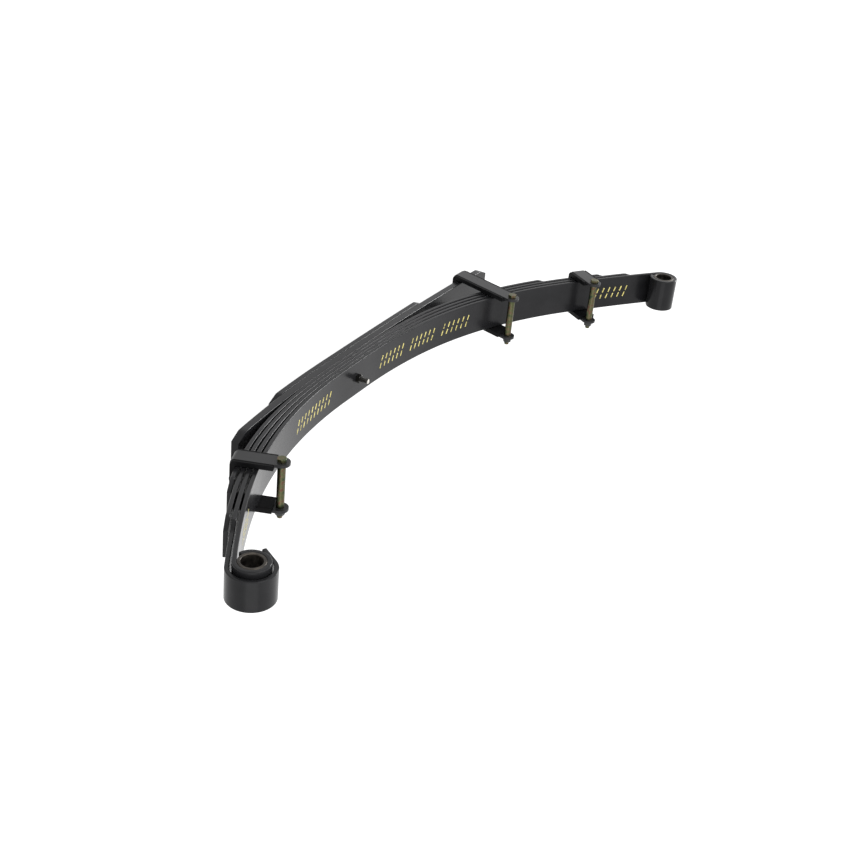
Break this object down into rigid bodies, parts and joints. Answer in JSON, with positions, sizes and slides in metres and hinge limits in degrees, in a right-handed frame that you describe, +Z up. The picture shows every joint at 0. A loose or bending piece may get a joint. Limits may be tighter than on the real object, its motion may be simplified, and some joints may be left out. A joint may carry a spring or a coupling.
{
  "type": "leaf spring",
  "caption": "Arched multi-leaf suspension spring with rolled eyes at both ends, a loose wrap round the front eye, stiff lower leaves and bolted rebound clips.",
  "frame": {"origin": "on the centre bolt's axis, on the flat underside of the lowest leaf, where the spring lies on the axle pad", "axes": "+X along the spring towards the shackle eye at the rear, +Y across the leaves (the width), +Z up towards the vehicle frame, the concave side"},
  "size_m": [1.2876, 0.098, 0.3523],
  "materials": {
    "leaf_paint": "black satin paint over sprung steel, with pale yellow paint bars",
    "clip_paint": "black satin paint",
    "bolt_zinc": "yellow zinc plate",
    "sleeve_steel": "bare machined steel with a brown tint",
    "centre_steel": "dark steel",
    "liner_plastic": "black moulded plastic"
  },
  "bodies": {
    "pack": {"main_leaf": "leaf_paint", "second_leaf": "leaf_paint", "third_leaf": "leaf_paint", "fourth_leaf": "leaf_paint", "overload_leaf": "leaf_paint", "lowest_leaf": "leaf_paint", "centre_bolt": "centre_steel", "centre_nut": "bolt_zinc", "middle_clip_strap": "clip_paint", "middle_clip_liner": "liner_plastic", "middle_clip_bolt": "bolt_zinc", "middle_clip_spacer": "bolt_zinc", "middle_clip_nut": "bolt_zinc", "middle_clip_rivet": "clip_paint"},
    "front_eye_end": {"front_eye_sleeve": "sleeve_steel"},
    "rear_eye_end": {"rear_eye_sleeve": "sleeve_steel"},
    "front_clip": {"front_clip_strap": "clip_paint", "front_clip_liner": "liner_plastic", "front_clip_bolt": "bolt_zinc", "front_clip_spacer": "bolt_zinc", "front_clip_nut": "bolt_zinc", "front_clip_rivet": "clip_paint"},
    "rear_clip": {"rear_clip_strap": "clip_paint", "rear_clip_liner": "liner_plastic", "rear_clip_bolt": "bolt_zinc", "rear_clip_spacer": "bolt_zinc", "rear_clip_nut": "bolt_zinc", "rear_clip_rivet": "clip_paint"}
  },
  "joints": [
    {"name": "front_arm_flex", "type": "hinge", "parent": "pack", "child": "front_eye_end", "pos_m": [-0.16875, 0, 0.0574], "axis": [0, -1, 0], "range_deg": [-2, 11.5], "stiffness_Nm_per_rad": 3460, "deforming": ["main_leaf", "second_leaf", "third_leaf", "fourth_leaf"]},
    {"name": "rear_arm_flex", "type": "hinge", "parent": "pack", "child": "rear_eye_end", "pos_m": [0.2, 0, 0.0608], "axis": [0, 1, 0], "range_deg": [-2, 17], "stiffness_Nm_per_rad": 2350, "deforming": ["main_leaf", "second_leaf", "third_leaf", "fourth_leaf"]},
    {"name": "front_clip_swing", "type": "hinge", "parent": "pack", "child": "front_clip", "pos_m": [-0.2141, 0, 0.0595], "axis": [0, -1, 0], "range_deg": [-2, 11.1]},
    {"name": "rear_clip_swing", "type": "hinge", "parent": "pack", "child": "rear_clip", "pos_m": [0.2441, 0, 0.071], "axis": [0, 1, 0], "range_deg": [-2.2, 18.3]}
  ],
  "couplings": [
    {"joint": "front_clip_swing", "follows": "front_arm_flex", "ratio": 0.9585},
    {"joint": "rear_clip_swing", "follows": "rear_arm_flex", "ratio": 1.0717}
  ]
}
